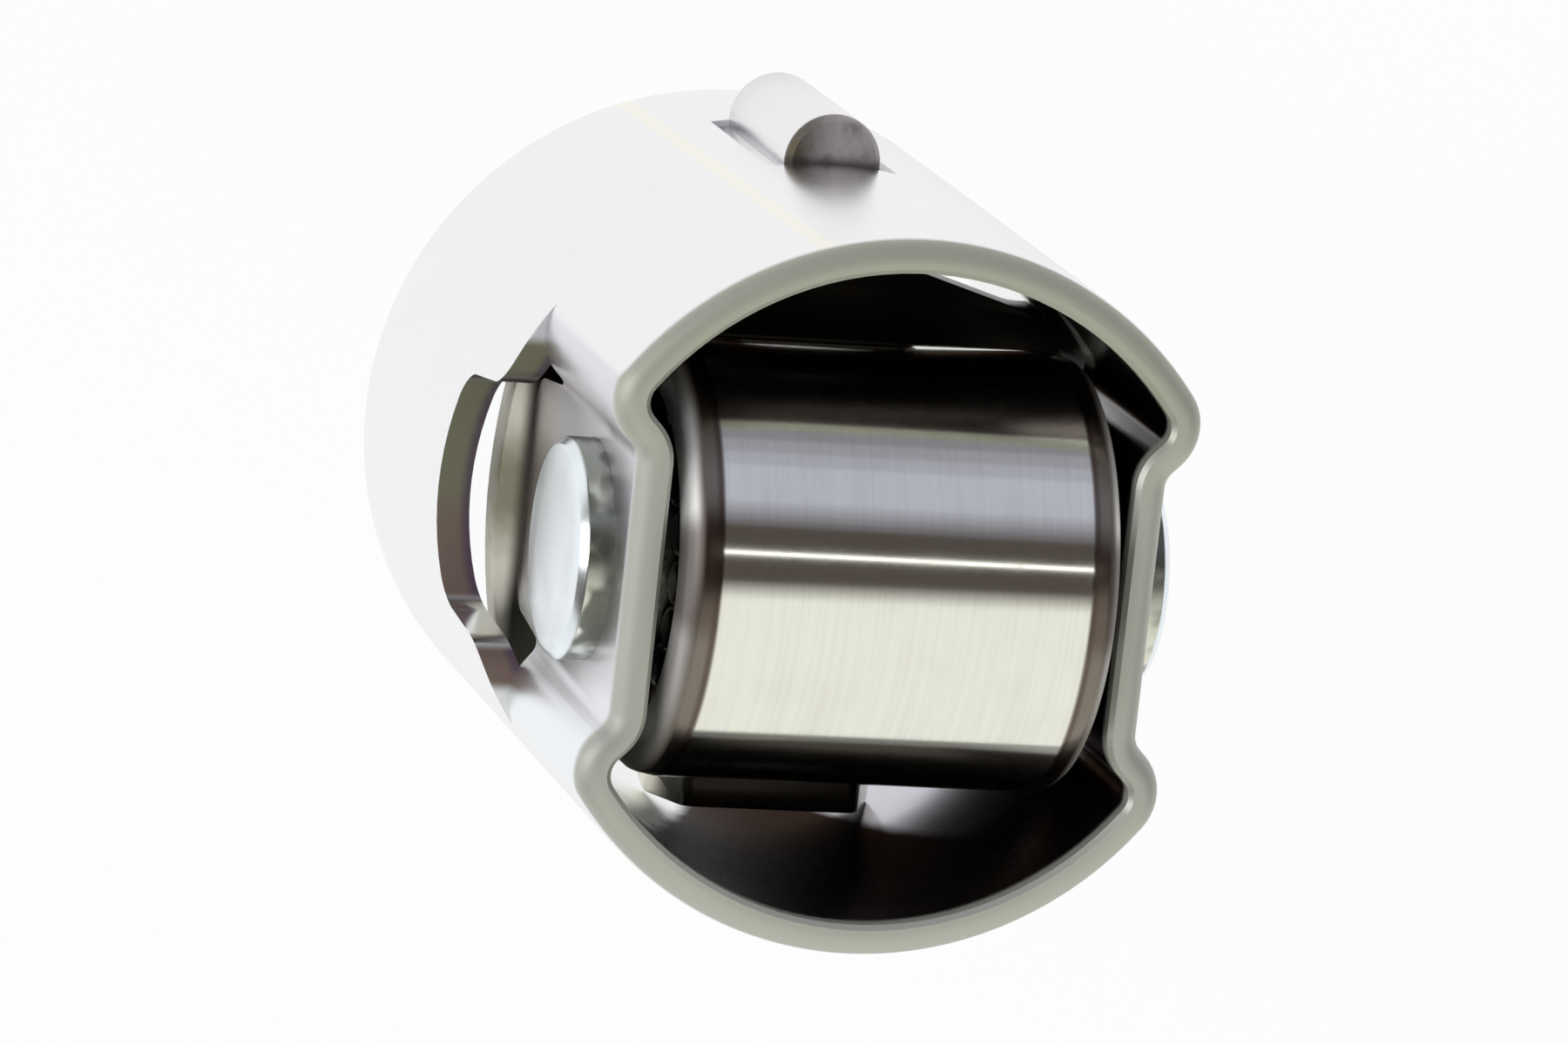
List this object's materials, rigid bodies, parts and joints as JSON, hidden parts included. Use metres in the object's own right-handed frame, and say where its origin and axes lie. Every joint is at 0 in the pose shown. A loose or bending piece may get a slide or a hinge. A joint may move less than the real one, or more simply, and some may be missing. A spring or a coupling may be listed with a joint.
{
  "type": "fuel pump roller tappet",
  "caption": "Round sheet-steel tappet housing, its sides pushed in flat to carry a cam roller on needle rollers, over a thrust bridge for a pump plunger.",
  "frame": {"origin": "centre of the skirt's open end, on the plane that the tappet stands on", "axes": "+Z along the skirt up to the roller, +X along the axle pin, +Y towards the guide key"},
  "size_m": [0.03, 0.0321, 0.035],
  "materials": {
    "housing_steel": "satin drawn sheet steel",
    "bridge_steel": "stamped hardened steel",
    "pin_steel": "ground hardened steel",
    "roller_steel": "finely ground bearing steel",
    "key_steel": "dark hardened steel",
    "needle_steel": "polished bearing steel"
  },
  "bodies": {
    "housing": {"housing": "housing_steel", "thrust_bridge": "bridge_steel", "axle_pin": "pin_steel", "guide_key": "key_steel"},
    "roller": {"roller": "roller_steel"},
    "needle_set": {"needle_01": "needle_steel", "needle_02": "needle_steel", "needle_03": "needle_steel", "needle_04": "needle_steel", "needle_05": "needle_steel", "needle_06": "needle_steel", "needle_07": "needle_steel", "needle_08": "needle_steel", "needle_09": "needle_steel", "needle_10": "needle_steel", "needle_11": "needle_steel", "needle_12": "needle_steel", "needle_13": "needle_steel", "needle_14": "needle_steel", "needle_15": "needle_steel", "needle_16": "needle_steel", "needle_17": "needle_steel"}
  },
  "joints": [
    {"name": "roller_spin", "type": "hinge", "parent": "housing", "child": "roller", "pos_m": [0, 0, 0.02585], "axis": [1, 0, 0], "continuous": true},
    {"name": "needle_orbit", "type": "hinge", "parent": "housing", "child": "needle_set", "pos_m": [0, 0, 0.02585], "axis": [1, 0, 0], "continuous": true}
  ],
  "couplings": [
    {"joint": "needle_orbit", "follows": "roller_spin", "ratio": 0.59075}
  ]
}
